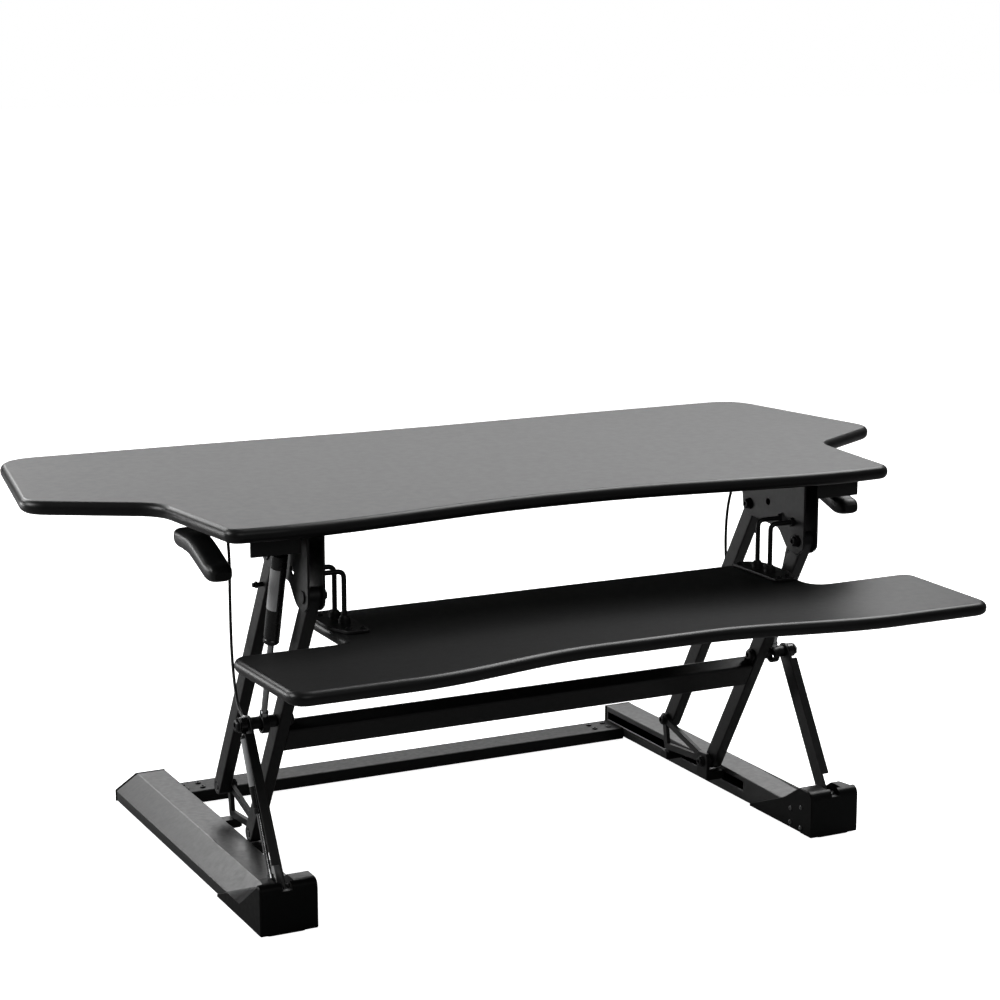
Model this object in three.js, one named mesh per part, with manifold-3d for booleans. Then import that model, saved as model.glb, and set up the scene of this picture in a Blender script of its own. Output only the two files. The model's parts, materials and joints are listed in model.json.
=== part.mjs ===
// A sit-stand desk converter: a winged desktop and a keyboard tray on a straight-line scissor lift.
// Millimetres, +Z up, +Y to the rear, origin at the middle of the footprint on the surface it stands on.
// On each side a lower arm turns about a fixed pivot in the foot and carries the middle of a front arm of
// twice its length, whose foot slides along the base, so the platform rises straight up.
import * as THREE from "three";
import { mergeVertices } from "three/addons/utils/BufferGeometryUtils.js";
import { ConvexGeometry } from "three/addons/geometries/ConvexGeometry.js";
import Module from "manifold-3d";

const wasm = await Module();
wasm.setup();

// ---- driving dimensions ----
const GAP = 0.3; // between neighbouring solids
const TOP_Z = 508; // desktop surface in the raised position
const BOARD = 18; // desktop thickness
const TRAY_Z = 367; // keyboard tray surface
const TRAY_BOARD = 17;
const REAR_Y = 398; // rear end of the feet
const ANGLE = THREE.MathUtils.degToRad(59.5); // inclination of the arms in the raised position
const HALF = 210.5; // lower arm's length, half the front arm's
const BASE_PIVOT = [-152, 48.5]; // y, z of the lower arm's fixed pivot
const REAR_SHIFT = [116.6, 30.2]; // y, z from the front arm to the parallel rear arm
const PIN = 5; // radius of the main pivot pins
const HOLE = PIN + 0.4;
const LONG_X = [343, 359]; // front and rear arms, inner and outer face
const SHORT_X = [393.5, 396.5]; // lower arm's plate
const FLANGE = { outer: 406, thick: 3, from: 30, to: 196 }; // along the lower arm's front edge
const LOWER_STRUT_X = 402.5;
const UPPER_STRUT_X = 375.5;
const STRUT_EYE = 4.5; // half width of a gas spring's eye
const CHEEK_X = [339.4, 342.4, 359.6, 362.6]; // the two plates of a top bracket
const CARRIAGE_X = [337, 342.6];
const FOOT = { inner: 360.3, crest: 401, outer: 432, low: 5, top: 41, edge: 20 };
const CAP_FRONT = -176; // front face of the feet
const BEAM_FRONT = -150;
const BEAM_REAR = REAR_Y - 6;
const RABBET = { from: -151, to: 98, z: 37 }; // wedge cut for the lower arm when the lift is folded
const ARM_SLOT = [387, 410.5]; // in the front cap
const NOTCH = [392, 404]; // in the cap's front wall
const GUIDE = { from: -2, to: 388, low: 20, top: 32 }; // slot for the carriage in a foot's inner wall
const CROSS_TUBE = { drop: 30, long: 38, deep: 22 }; // below the middle pivot, along and across the arm
const UPPER_STRUT_TOP = [BASE_PIVOT[0] + 33.5, TOP_Z - 34.2];
const LOWER_STRUT_FOOT = [BASE_PIVOT[0] + 18, BASE_PIVOT[1] + 3];
const LEVER_PIVOT = [8, 463];
const CABLE_RADIUS = 2;

// ---- points of the linkage, as [y, z] ----
const along = (from, angle, distance) => [
  from[0] + distance * Math.cos(angle),
  from[1] + distance * Math.sin(angle),
];
const MIDDLE = along(BASE_PIVOT, ANGLE, HALF);
const FRONT_LOW = along(MIDDLE, -ANGLE, HALF);
const FRONT_TOP = along(MIDDLE, Math.PI - ANGLE, HALF);
const shifted = ([y, z]) => [y + REAR_SHIFT[0], z + REAR_SHIFT[1]];
const REAR_LOW = shifted(FRONT_LOW);
const REAR_TOP = shifted(FRONT_TOP);

// ---- materials ----
const finish = (color, roughness, metalness) => new THREE.MeshStandardMaterial({ color, roughness, metalness });
const laminate = finish(0x141415, 0.42, 0);
const steel = finish(0x1b1b1c, 0.5, 0.35);
const plastic = finish(0x121213, 0.45, 0);
const rubber = finish(0x0c0c0c, 0.9, 0);
const zinc = finish(0x77797c, 0.35, 0.9);
const cylinderPaint = finish(0x151516, 0.35, 0.3);
const cableJacket = finish(0x0e0e0e, 0.6, 0);

// ---- solids ----
// Six times the volume inside a closed surface, negative when its faces point inwards.
const signedVolume = (g) => {
  const p = g.getAttribute("position");
  const a = new THREE.Vector3();
  const b = new THREE.Vector3();
  const c = new THREE.Vector3();
  let sum = 0;
  for (let i = 0; i < g.index.count; i += 3) {
    a.fromBufferAttribute(p, g.index.getX(i));
    b.fromBufferAttribute(p, g.index.getX(i + 1));
    c.fromBufferAttribute(p, g.index.getX(i + 2));
    sum += a.dot(b.cross(c));
  }
  return sum;
};

// A closed geometry as a manifold solid, with its faces turned outwards.
function solid(geometry) {
  const bare = geometry.clone();
  bare.deleteAttribute("normal");
  bare.deleteAttribute("uv");
  const g = mergeVertices(bare, 1e-4);
  const triVerts = new Uint32Array(g.index.array);
  if (signedVolume(g) < 0) {
    for (let i = 0; i < triVerts.length; i += 3) {
      [triVerts[i + 1], triVerts[i + 2]] = [triVerts[i + 2], triVerts[i + 1]];
    }
  }
  const vertProperties = new Float32Array(g.getAttribute("position").array);
  return new wasm.Manifold(new wasm.Mesh({ numProp: 3, vertProperties, triVerts }));
}

const join = (...parts) => parts.reduce((all, one) => all.add(one));
const cut = (body, ...tools) => tools.reduce((left, tool) => left.subtract(tool), body);

function geometryOf(body) {
  const m = body.getMesh();
  const g = new THREE.BufferGeometry();
  g.setAttribute("position", new THREE.BufferAttribute(new Float32Array(m.vertProperties), 3));
  g.setIndex(new THREE.BufferAttribute(new Uint32Array(m.triVerts), 1));
  const flat = g.toNonIndexed();
  flat.computeVertexNormals();
  return flat;
}

// ---- outlines ----
// Corners are [u, v] or [u, v, radius]; a corner with a radius is rounded.
function outline(given) {
  const area = THREE.ShapeUtils.area(given.map(([u, v]) => new THREE.Vector2(u, v)));
  const corners = area < 0 ? given.toReversed() : given;
  const shape = new THREE.Shape();
  corners.forEach(([u, v, radius = 0], i) => {
    const corner = new THREE.Vector2(u, v);
    const before = new THREE.Vector2(...corners[(i + corners.length - 1) % corners.length]);
    const after = new THREE.Vector2(...corners[(i + 1) % corners.length]);
    const start = corner.clone().add(before.sub(corner).setLength(radius));
    const end = corner.clone().add(after.sub(corner).setLength(radius));
    if (i === 0) shape.moveTo(start.x, start.y);
    else shape.lineTo(start.x, start.y);
    if (radius > 0) shape.quadraticCurveTo(corner.x, corner.y, end.x, end.y);
  });
  shape.closePath();
  return shape;
}

const ring = ([u, v], radius) => new THREE.Path().absarc(u, v, radius, 0, 2 * Math.PI, true);

// A bar with round ends between two points, with pin holes.
function link(from, to, radius, holes = []) {
  const angle = Math.atan2(to[1] - from[1], to[0] - from[0]);
  const shape = new THREE.Shape();
  shape.absarc(from[0], from[1], radius, angle + Math.PI / 2, angle - Math.PI / 2, false);
  shape.absarc(to[0], to[1], radius, angle - Math.PI / 2, angle + Math.PI / 2, false);
  shape.closePath();
  shape.holes = holes.map(([point, r]) => ring(point, r));
  return shape;
}

const disc = ([u, v], radius) => new THREE.Shape().absarc(u, v, radius, 0, 2 * Math.PI, false);

// ---- bodies from outlines: a [y, z] outline runs along X, an [x, z] one along Y, an [x, y] one along Z ----
const IN_YZ = new THREE.Matrix4().set(0, 0, 1, 0, 1, 0, 0, 0, 0, 1, 0, 0, 0, 0, 0, 1);
const IN_XZ = new THREE.Matrix4().set(1, 0, 0, 0, 0, 0, -1, 0, 0, 1, 0, 0, 0, 0, 0, 1);

function extruded(shape, low, high, edge, curveSegments) {
  const g = new THREE.ExtrudeGeometry(shape, {
    depth: high - low - 2 * edge,
    bevelEnabled: edge > 0,
    bevelThickness: edge,
    bevelSize: edge,
    bevelOffset: -edge,
    bevelSegments: edge > 4 ? 2 : 1,
    curveSegments,
  });
  return g.translate(0, 0, edge);
}

const plate = (shape, [low, high], edge = 0, segments = 8) =>
  solid(extruded(shape, low, high, edge, segments).applyMatrix4(IN_YZ).translate(low, 0, 0));
const beam = (shape, [low, high], edge = 0, segments = 4) =>
  solid(extruded(shape, low, high, edge, segments).applyMatrix4(IN_XZ).translate(0, high, 0));
const board = (shape, [low, high], edge = 0, segments = 5) =>
  solid(extruded(shape, low, high, edge, segments).translate(0, 0, low));

function block([x0, x1], [y0, y1], [z0, z1]) {
  const g = new THREE.BoxGeometry(x1 - x0, y1 - y0, z1 - z0);
  return solid(g.translate((x0 + x1) / 2, (y0 + y1) / 2, (z0 + z1) / 2));
}

// A turned piece about an axis along X: steps are [x0, x1, radius] from inside to outside.
function turned([y, z], steps, sides = 12) {
  const points = [new THREE.Vector2(0, steps[0][0])];
  for (const [x0, x1, r] of steps) points.push(new THREE.Vector2(r, x0), new THREE.Vector2(r, x1));
  points.push(new THREE.Vector2(0, steps.at(-1)[1]));
  const g = new THREE.LatheGeometry(points, sides);
  return solid(g.rotateZ(-Math.PI / 2).translate(0, y, z));
}

// The same about an axis that leaves the point [y, z] at an angle in the YZ plane, at a given x.
function spindle(x, [y, z], angle, steps, sides = 12) {
  const points = [new THREE.Vector2(0, steps[0][0])];
  for (const [d0, d1, r] of steps) points.push(new THREE.Vector2(r, d0), new THREE.Vector2(r, d1));
  points.push(new THREE.Vector2(0, steps.at(-1)[1]));
  const g = new THREE.LatheGeometry(points, sides);
  return solid(g.rotateX(angle).translate(x, y, z));
}

// ---- base ----
const footProfile = (inset, top = FOOT.top) =>
  outline([
    [FOOT.inner + inset, FOOT.low + inset],
    [FOOT.outer - inset, FOOT.low + inset],
    [FOOT.outer - inset, FOOT.edge - inset * 0.5],
    [FOOT.crest - inset + (FOOT.top - top) * 0.9, top],
    [FOOT.inner + inset, top],
  ]);

function footBeam() {
  const wall = 3;
  const hollow = beam(footProfile(wall, RABBET.z - wall), [BEAM_FRONT - 1, BEAM_REAR + 1]);
  const wedge = outline([
    [RABBET.from, RABBET.z],
    [RABBET.to, FOOT.top + GAP],
    [RABBET.to, FOOT.top + 5],
    [RABBET.from, FOOT.top + 5],
  ]);
  return cut(
    beam(footProfile(0), [BEAM_FRONT, BEAM_REAR]),
    hollow,
    plate(wedge, [FOOT.inner - 5, FOOT.crest]),
    block([FOOT.inner - 5, FOOT.inner + wall + 1], [GUIDE.from, GUIDE.to], [GUIDE.low, GUIDE.top]),
  );
}

const CAP_LOW = 2.3;
const CAP_TOP = 66;
const CAP_X = [FOOT.inner - 2, FOOT.outer + 2];

// The moulded front end of a foot: a block with a slot for the arm, and a sleeve that tapers to the rear.
function frontCap() {
  const side = outline([
    [CAP_FRONT, CAP_LOW, 2],
    [CAP_FRONT, CAP_TOP, 13],
    [-146, CAP_TOP, 2],
    [-110, FOOT.top + 1.5, 6],
    [-23, FOOT.low + 2, 1],
    [-23, CAP_LOW],
  ]);
  const outerCorner = new ConvexGeometry(
    [
      [CAP_X[1] + 0.2, -166, CAP_TOP - 4],
      [CAP_X[1] - 7, -166, CAP_TOP + 0.2],
      [FOOT.crest + 1, -112, FOOT.top + 1],
      [FOOT.crest + 1, -20, FOOT.top + 1],
      [FOOT.outer + 4, -104, FOOT.edge],
      [FOOT.outer + 4, -20, FOOT.edge],
      [FOOT.outer + 9, -166, CAP_TOP + 12],
      [FOOT.outer + 9, -20, CAP_TOP + 12],
      [FOOT.crest + 1, -20, CAP_TOP + 12],
    ].map((p) => new THREE.Vector3(...p)),
  );
  const sleeve = beam(footProfile(-GAP), [BEAM_FRONT - GAP, 0]);
  const floor = block([CAP_X[0] - 1, CAP_X[1] + 1], [BEAM_FRONT - GAP, 0], [0, FOOT.low - GAP - 1]);
  const stud = turned(LOWER_STRUT_FOOT, [[LOWER_STRUT_X - 4.8, 413, 3.2]]);
  const shell = cut(
    plate(side, CAP_X, 1.2, 4),
    solid(outerCorner),
    sleeve,
    floor,
    block(ARM_SLOT, [CAP_FRONT + 8, -20], [36, 80]),
    block(NOTCH, [CAP_FRONT - 1, CAP_FRONT + 9], [56, 80]),
    turned(BASE_PIVOT, [[371, 419, HOLE]]),
  );
  return join(shell, stud);
}

function rearCap() {
  const rim = beam(footProfile(-1), [BEAM_REAR + GAP, REAR_Y], 1.5);
  const plug = beam(footProfile(4, RABBET.z - 4), [BEAM_REAR - 10, BEAM_REAR + 2]);
  return join(rim, plug);
}

function rubberFoot([y0, y1], top) {
  const pad = outline([
    [372, y0, 6],
    [424, y0, 6],
    [424, y1, 6],
    [372, y1, 6],
  ]);
  return board(pad, [0, top], 0, 3);
}

function rearCrossbar() {
  const end = FOOT.inner - GAP;
  const section = outline([
    [338, 2, 2],
    [388, 2, 2],
    [388, 20, 2],
    [338, 20, 2],
  ]);
  return plate(section, [-end, end], 0, 3);
}

// ---- arms ----
const flatBar = (from, to, holes, x, radius) => plate(link(from, to, radius, holes), x, 0.8, 6);


// An angle section: a plate, and a flange along its front edge that stands outwards beside the gas spring.
function lowerArm() {
  const normal = ANGLE + Math.PI / 2;
  const edgeOf = (distance, offset) => along(along(BASE_PIVOT, ANGLE, distance), normal, offset);
  const strip = outline([
    edgeOf(FLANGE.from, 11),
    edgeOf(FLANGE.to, 11),
    edgeOf(FLANGE.to, 11 - FLANGE.thick),
    edgeOf(FLANGE.from, 11 - FLANGE.thick),
  ]);
  return join(
    plate(link(BASE_PIVOT, MIDDLE, 11, [[BASE_PIVOT, HOLE], [MIDDLE, HOLE]]), SHORT_X, 0, 6),
    plate(strip, [SHORT_X[0], FLANGE.outer]),
  );
}

const frontArm = () =>
  flatBar(FRONT_LOW, FRONT_TOP, [[FRONT_LOW, HOLE], [MIDDLE, HOLE], [FRONT_TOP, HOLE]], LONG_X, 11.5);
const rearArm = () =>
  flatBar(REAR_LOW, REAR_TOP, [[REAR_LOW, HOLE], [REAR_TOP, HOLE]], LONG_X, 11.5);

function armCrossTube() {
  const { drop, long, deep } = CROSS_TUBE;
  const half = [long / 2, deep / 2];
  const section = outline([
    [-half[0], -half[1], 3],
    [half[0], -half[1], 3],
    [half[0], half[1], 3],
    [-half[0], half[1], 3],
  ]);
  const end = LONG_X[0] - GAP;
  const [y, z] = along(MIDDLE, -ANGLE, drop);
  const g = extruded(section, -end, end, 0, 3).rotateZ(-ANGLE).applyMatrix4(IN_YZ);
  return solid(g.translate(-end, y, z));
}

// The shaft of the middle pivot, with its spacers, its head and the lug that holds the cable's end.
function middleAxle() {
  const shaft = turned(MIDDLE, [
    [LONG_X[0] - 4, LONG_X[0] - GAP, 9],
    [LONG_X[0] - GAP, LONG_X[1] + GAP, PIN],
    [LONG_X[1] + GAP, UPPER_STRUT_X - 5, 8],
    [UPPER_STRUT_X - 5, UPPER_STRUT_X + 5, 4.5],
    [UPPER_STRUT_X + 5, SHORT_X[0] - GAP, 8],
    [SHORT_X[0] - GAP, LOWER_STRUT_X + 5, PIN],
    [LOWER_STRUT_X + 5, LOWER_STRUT_X + 7.5, 9],
  ]);
  const lug = block([SHORT_X[0] - 3.8, SHORT_X[0] - GAP], [MIDDLE[0] + 5, MIDDLE[0] + 15], [MIDDLE[1] - 3.5, MIDDLE[1] + 4.5]);
  return join(shaft, lug);
}

// ---- carriage: a welded triangle that slides along the foot and keeps the rear arm parallel ----
const STRUT_FOOT = [172, 40];
const GLIDE_REAR = 168;

function carriage() {
  const ends = [FRONT_LOW, REAR_LOW, STRUT_FOOT];
  const bars = ends.map((point, i) => plate(link(point, ends[(i + 1) % 3], 4.5), CARRIAGE_X, 0, 3));
  const bosses = [FRONT_LOW, REAR_LOW].map((point) => plate(disc(point, 10), CARRIAGE_X, 0, 6));
  const bores = [FRONT_LOW, REAR_LOW].map((point) => turned(point, [[320, 350, HOLE]]));
  return cut(join(...bars, ...bosses), ...bores);
}

// A plastic glide: a cheek on the carriage, a foot under it, and a tongue in the guide slot.
function glide(y, cheekTop, half, bore) {
  const cheek = outline([
    [y - half, 23, 3],
    [y + half, 23, 3],
    [y + half, cheekTop, 9],
    [y - half, cheekTop, 9],
  ]);
  const face = [CARRIAGE_X[0] - 6, CARRIAGE_X[0] - GAP];
  const sole = [CARRIAGE_X[0] - 3, FOOT.inner - 1];
  const tongue = [FOOT.inner - 2, FOOT.inner + 10];
  const parts = join(
    plate(cheek, face, 0.8, 3),
    block(sole, [y - half, y + half], [23, STRUT_FOOT[1] - 5]),
    block(tongue, [y - 8, y + 8], [23, GUIDE.top - 1]),
  );
  return bore ? cut(parts, turned(bore, [[320, 350, HOLE]])) : parts;
}

// ---- pins: a head, the shank, its spacers and the nut ----
const basePin = () => turned(BASE_PIVOT, [[372, 418, PIN]]);
const armFootPin = (point, head) =>
  turned(point, [
    [head - 2, head, 8],
    [head, FOOT.inner - 0.8, PIN],
  ]);
const armTopPin = (point) =>
  turned(point, [
    [CHEEK_X[0] - 3, CHEEK_X[0] - GAP, 8],
    [CHEEK_X[0] - GAP, CHEEK_X[3] + GAP, PIN],
    [CHEEK_X[3] + GAP, CHEEK_X[3] + 2, 8],
  ]);

// ---- gas springs ----
const angleTo = (from, to) => Math.atan2(to[1] - from[1], to[0] - from[0]);
const span = (from, to) => Math.hypot(to[0] - from[0], to[1] - from[1]);

// Cylinder end: an eye round its pivot, a neck, the barrel and the bore that the rod runs in.
function springCylinder(x, pivot, end, { radius, from, to, bore, boreFrom, hole }) {
  const angle = angleTo(pivot, end);
  const eye = plate(disc(pivot, hole + 4.2), [x - STRUT_EYE, x + STRUT_EYE], 0, 7);
  const barrel = spindle(x, pivot, angle, [
    [hole + 1, from, 4],
    [from, from + 2, radius - 1],
    [from + 2, to - 2, radius],
    [to - 2, to, radius - 1.5],
  ]);
  const inside = spindle(x, pivot, angle, [[boreFrom, to + 1, bore]]);
  const pinHole = turned(pivot, [[x - 20, x + 20, hole]]);
  return cut(join(eye, barrel), inside, pinHole);
}

// Rod end: the rod and a wide eye, whose centre stands off its stud by offset, along the rod and across it.
function springRod(x, pivot, end, { radius, tip, hole, rim, offset }) {
  const angle = angleTo(end, pivot);
  const length = span(pivot, end) - tip;
  const centre = along(along(end, angle, offset[0]), angle + Math.PI / 2, offset[1]);
  const eye = plate(disc(centre, hole + rim), [x - STRUT_EYE, x + STRUT_EYE], 0, 8);
  const rod = spindle(x, end, angle, [
    [hole * 0.6, length - 1.5, radius],
    [length - 1.5, length, radius - 0.8],
  ]);
  return cut(join(eye, rod), turned(centre, [[x - 20, x + 20, hole]]));
}

const UPPER = { radius: 10, from: 16, to: 140, bore: 4.3, boreFrom: 48, hole: 4.3 };
const UPPER_ROD = { radius: 4, tip: 118, hole: 8.4, rim: 3.2, offset: [-1.2, 2.85] };
const LOWER = { radius: 5.7, from: 14, to: 112, bore: 3.3, boreFrom: 70, hole: HOLE };
const LOWER_ROD = { radius: 3, tip: 92, hole: 5, rim: 2.8, offset: [1, -0.5] };

// ---- platform ----
const halfCosine = (t) => (1 - Math.cos(Math.PI * t)) / 2;

// Points of a front edge whose middle stands back from its two bows.
function wavyEdge(centreY, bowDepth, flat, bow, count) {
  return Array.from({ length: count + 1 }, (_, i) => {
    const x = flat + ((bow - flat) * i) / count;
    return [x, centreY - bowDepth * halfCosine(i / count)];
  });
}

// A symmetrical outline from the corners of its right half, rear middle first, with a wavy front edge.
function symmetrical(right, edge) {
  const half = [...right, ...edge.toReversed()];
  const left = half.map(([x, y, r]) => [-x, y, r]).reverse();
  return outline([...left, ...half].reverse());
}

function desktopOutline() {
  const right = [
    [583, 395, 52],
    [633, 92, 30],
    [487, 6, 26],
    [465, -186, 18],
  ];
  return symmetrical([[60, 384], [300, 392], ...right], wavyEdge(-155, 36, 20, 400, 9));
}

function trayOutline() {
  const right = [
    [326, -66, 16],
    [328, -214, 22],
    [479, -212, 22],
    [473, -398, 24],
  ];
  return symmetrical(right, wavyEdge(-361, 37, 70, 330, 7));
}

const desktop = () => board(desktopOutline(), [TOP_Z - BOARD, TOP_Z], 7);
const keyboardTray = () => board(trayOutline(), [TRAY_Z - TRAY_BOARD, TRAY_Z], 6.5);

// A channel under the desktop: two cheeks that hold the arms' tops and a web screwed to the board.
function topBracket() {
  const under = TOP_Z - BOARD - GAP;
  const cheek = outline([
    [-168, under, 2],
    [-14, under, 2],
    [-16, 464, 6],
    [-21, 430, 9],
    [-36, 426, 4],
    [-108, 421, 6],
    [-130, 396, 8],
    [-154, 392, 6],
    [-168, 402, 6],
  ]);
  const web = block([CHEEK_X[0] + 1, CHEEK_X[3] - 1], [-166, -16], [under - 3, under]);
  const stud = turned(UPPER_STRUT_TOP, [
    [CHEEK_X[3] - 1, UPPER_STRUT_X - 5, 7],
    [UPPER_STRUT_X - 5, UPPER_STRUT_X + 5, 4],
    [UPPER_STRUT_X + 5, UPPER_STRUT_X + 7.5, 7],
  ]);
  const plates = [CHEEK_X.slice(0, 2), CHEEK_X.slice(2)].map((x) => plate(cheek, x, 0, 4));
  const bores = [FRONT_TOP, REAR_TOP].map((point) => turned(point, [[325, 370, HOLE]]));
  return cut(join(...plates, web, stud), ...bores);
}

// Two rods that bend out of the bracket and carry the tray on a foot plate.
const HANGER = { x: 305, front: -142, rear: -112, bend: 435, radius: 3.2, foot: 4 };

function trayHanger() {
  const rod = (y) => {
    const path = new THREE.CurvePath();
    const corner = new THREE.Vector3(HANGER.x, y, HANGER.bend);
    const reach = new THREE.Vector3(CHEEK_X[0] - GAP, y, HANGER.bend);
    const bendOut = new THREE.Vector3(HANGER.x + 7, y, HANGER.bend);
    const bendDown = new THREE.Vector3(HANGER.x, y, HANGER.bend - 7);
    const low = new THREE.Vector3(HANGER.x, y, TRAY_Z + 2);
    path.add(new THREE.LineCurve3(reach, bendOut));
    path.add(new THREE.QuadraticBezierCurve3(bendOut, corner, bendDown));
    path.add(new THREE.LineCurve3(bendDown, low));
    return tube(path, HANGER.radius, 8, 9);
  };
  const foot = outline([
    [288, -186, 8],
    [318, -186, 8],
    [330, -150, 4],
    [330, -92, 4],
    [314, -74, 8],
    [288, -74, 8],
  ]);
  const seat = TRAY_Z + GAP;
  const bosses = [HANGER.front, HANGER.rear].map((y) =>
    block([HANGER.x - 8, HANGER.x + 8], [y - 8, y + 8], [seat, seat + 10]),
  );
  return join(board(foot, [seat, seat + HANGER.foot]), ...bosses, rod(HANGER.front), rod(HANGER.rear));
}

function tube(path, radius, sides, steps) {
  const section = new THREE.Shape();
  for (let i = 0; i < sides; i += 1) {
    const a = (2 * Math.PI * i) / sides;
    const point = [radius * Math.cos(a), radius * Math.sin(a)];
    if (i === 0) section.moveTo(...point);
    else section.lineTo(...point);
  }
  section.closePath();
  return solid(new THREE.ExtrudeGeometry(section, { steps, bevelEnabled: false, extrudePath: path }));
}

// ---- height release ----
const LEVER_X = [434, 466];

function leverHousing() {
  const under = TOP_Z - BOARD - GAP;
  const ear = outline([
    [-20, under],
    [24, under],
    [LEVER_PIVOT[0] + 9, 455, 6],
    [LEVER_PIVOT[0] - 9, 455, 6],
  ]);
  return cut(
    join(
      block([366.5, 430], [-160, -156.5], [467, under]),
      block([388, 430], [-158, 22], [under - 3, under]),
      block([388, 391], [-158, 22], [478, under]),
      plate(ear, [425, 430], 0, 5),
    ),
    turned(LEVER_PIVOT, [[420, 435, 3.8]]),
  );
}

function releaseLever() {
  const [y, z] = LEVER_PIVOT;
  const side = outline([
    [y + 15, z + 12, 9],
    [y - 30, z + 12, 10],
    [-114, 452, 6],
    [-120, 434, 5],
    [-104, 428, 6],
    [-60, 438, 10],
    [y + 15, z - 13, 9],
  ]);
  return cut(plate(side, LEVER_X, 1.5, 3), turned(LEVER_PIVOT, [[430, 458, 3.8]]));
}

const leverPin = () => turned(LEVER_PIVOT, [[421.5, 424.7, 6], [424.7, 457, 3.4]]);

// Each cable leaves the lever's housing, hangs in a bow behind the rear arm and ends at the middle axle.
const CABLE_POINTS = [
  [400, 22.6, 477],
  [398, 36, 477],
  [388, 54, 470],
  [378, 64, 450],
  [373, 71, 415],
  [372, 74, 370],
  [373, 71, 325],
  [376, 60, 287],
  [381, 39, 257],
  [387, 13, 239],
  [390.8, -12, 231.5],
  [391.6, MIDDLE[0] + 15.4, 230.4],
];

function releaseCable() {
  const route = new THREE.CatmullRomCurve3(CABLE_POINTS.map((p) => new THREE.Vector3(...p)));
  return tube(route, CABLE_RADIUS, 8, 32);
}

// ---- assembly ----
const part = new THREE.Group();

function place(group, name, body, material) {
  const mesh = new THREE.Mesh(geometryOf(body), material);
  mesh.name = name;
  group.add(mesh);
}

// One side of the object, modelled on the right; the left one is its mirror image.
function sideOf(name) {
  const group = new THREE.Group();
  const add = (node, body, material) => place(group, `${node}_${name}`, body, material);
  add("foot_beam", footBeam(), steel);
  add("front_cap", frontCap(), plastic);
  add("rear_cap", rearCap(), plastic);
  add("rubber_foot_front", rubberFoot([-172, -152], CAP_LOW - GAP), rubber);
  add("rubber_foot_rear", rubberFoot([350, 380], FOOT.low - GAP), rubber);
  add("base_pin", basePin(), zinc);
  add("lower_arm", lowerArm(), steel);
  add("front_arm", frontArm(), steel);
  add("rear_arm", rearArm(), steel);
  add("middle_axle", middleAxle(), steel);
  add("carriage", carriage(), steel);
  add("front_glide", glide(FRONT_LOW[0], 62, 14, FRONT_LOW), plastic);
  add("rear_glide", glide(GLIDE_REAR, 36, 9, null), plastic);
  add("front_arm_foot_pin", armFootPin(FRONT_LOW, CARRIAGE_X[0] - 6 - GAP), zinc);
  add("rear_arm_foot_pin", armFootPin(REAR_LOW, CARRIAGE_X[0] - GAP), zinc);
  add("front_arm_top_pin", armTopPin(FRONT_TOP), zinc);
  add("rear_arm_top_pin", armTopPin(REAR_TOP), zinc);
  add("upper_spring_cylinder", springCylinder(UPPER_STRUT_X, UPPER_STRUT_TOP, MIDDLE, UPPER), cylinderPaint);
  add("upper_spring_rod", springRod(UPPER_STRUT_X, UPPER_STRUT_TOP, MIDDLE, UPPER_ROD), zinc);
  add("lower_spring_cylinder", springCylinder(LOWER_STRUT_X, MIDDLE, LOWER_STRUT_FOOT, LOWER), cylinderPaint);
  add("lower_spring_rod", springRod(LOWER_STRUT_X, MIDDLE, LOWER_STRUT_FOOT, LOWER_ROD), zinc);
  add("top_bracket", topBracket(), steel);
  add("tray_hanger", trayHanger(), steel);
  add("lever_housing", leverHousing(), steel);
  add("release_lever", releaseLever(), plastic);
  add("lever_pin", leverPin(), zinc);
  add("release_cable", releaseCable(), cableJacket);
  return group;
}

const right = sideOf("right");
const left = sideOf("left");
left.scale.x = -1;
part.add(right, left);
place(part, "rear_crossbar", rearCrossbar(), steel);
place(part, "arm_cross_tube", armCrossTube(), steel);
place(part, "desktop", desktop(), laminate);
place(part, "keyboard_tray", keyboardTray(), laminate);

export default part;
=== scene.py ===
"""A sit-stand desk converter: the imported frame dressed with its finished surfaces.

Metres, in the frame's own axes. Each side is built on the right and mirrored for the left.
"""

import json
import math

import bmesh
import bpy
from mathutils import Matrix, Vector


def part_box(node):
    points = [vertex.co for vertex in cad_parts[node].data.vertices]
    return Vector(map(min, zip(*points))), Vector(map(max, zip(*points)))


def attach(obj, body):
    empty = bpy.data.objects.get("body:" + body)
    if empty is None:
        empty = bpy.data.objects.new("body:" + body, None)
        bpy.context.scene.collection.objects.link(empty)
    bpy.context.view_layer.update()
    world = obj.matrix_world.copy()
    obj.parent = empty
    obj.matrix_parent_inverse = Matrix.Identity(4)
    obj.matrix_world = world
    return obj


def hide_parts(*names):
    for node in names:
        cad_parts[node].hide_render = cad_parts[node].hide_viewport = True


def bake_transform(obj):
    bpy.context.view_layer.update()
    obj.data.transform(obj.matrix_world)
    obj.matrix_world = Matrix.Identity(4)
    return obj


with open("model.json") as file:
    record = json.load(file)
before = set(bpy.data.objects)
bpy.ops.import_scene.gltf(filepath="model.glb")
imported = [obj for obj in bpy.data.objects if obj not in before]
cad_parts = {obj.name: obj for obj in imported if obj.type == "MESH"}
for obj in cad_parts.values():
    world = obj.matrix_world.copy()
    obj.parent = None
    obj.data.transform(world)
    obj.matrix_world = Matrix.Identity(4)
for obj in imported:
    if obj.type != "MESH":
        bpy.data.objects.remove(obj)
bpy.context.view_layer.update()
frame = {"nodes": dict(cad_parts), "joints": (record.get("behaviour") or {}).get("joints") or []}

SIDES = (("left", -1), ("right", 1))
JOINTS = {joint["name"]: joint for joint in frame["joints"]}


# ---- places, from the frame ----
def pivot(joint):
    """The y and z of a joint's axis."""
    return Vector(JOINTS[joint]["pos_m"][1:])


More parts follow.
